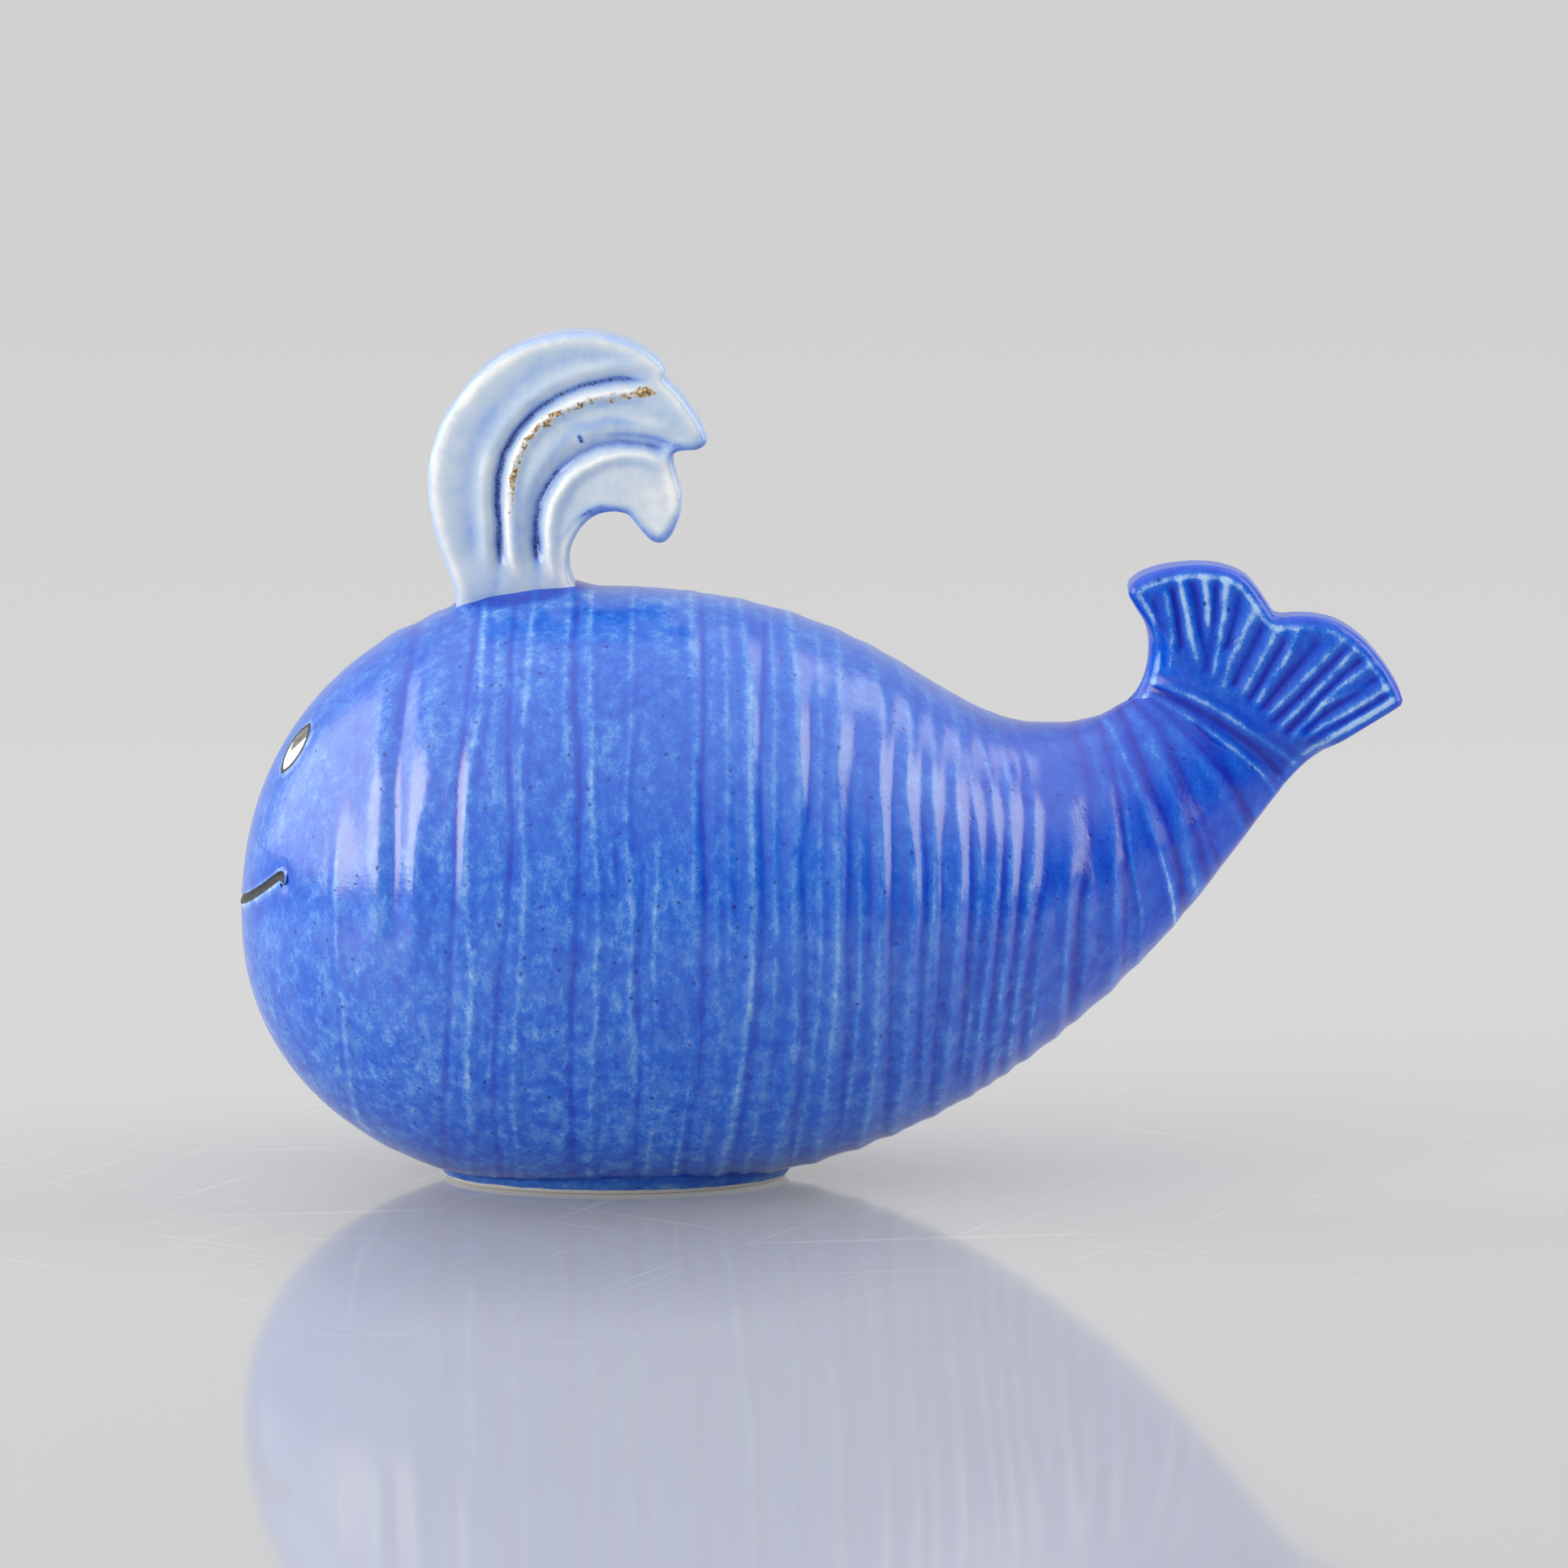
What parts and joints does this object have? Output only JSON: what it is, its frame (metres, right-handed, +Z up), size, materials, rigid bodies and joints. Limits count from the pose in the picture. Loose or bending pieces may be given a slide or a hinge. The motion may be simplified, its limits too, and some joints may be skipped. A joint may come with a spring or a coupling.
{
  "type": "whale figurine",
  "caption": "Hollow glazed ceramic whale that stands on a low foot ring, with a curled water plume on its crown and an upturned, rayed tail fluke.",
  "frame": {"origin": "middle of the foot ring's resting face, on the table", "axes": "+Z up, +X from the nose towards the tail, so the nose points along -X; +Y towards the whale's right side"},
  "size_m": [0.1598, 0.074, 0.1174],
  "materials": {
    "blue_glaze": "glossy",
    "pale_glaze": "glossy",
    "bare_clay": "matte",
    "dark_enamel": "glossy",
    "white_enamel": "glossy",
    "pupil_enamel": "glossy"
  },
  "bodies": {
    "root": {"body_shell": "blue_glaze", "foot_ring": "blue_glaze", "base_plug": "bare_clay", "water_plume": "pale_glaze", "tail_fluke": "blue_glaze", "mouth_line": "dark_enamel", "left_eye_outline": "dark_enamel", "right_eye_outline": "dark_enamel", "left_eye_white": "white_enamel", "right_eye_white": "white_enamel", "left_eye_pupil": "pupil_enamel", "right_eye_pupil": "pupil_enamel"}
  },
  "joints": []
}
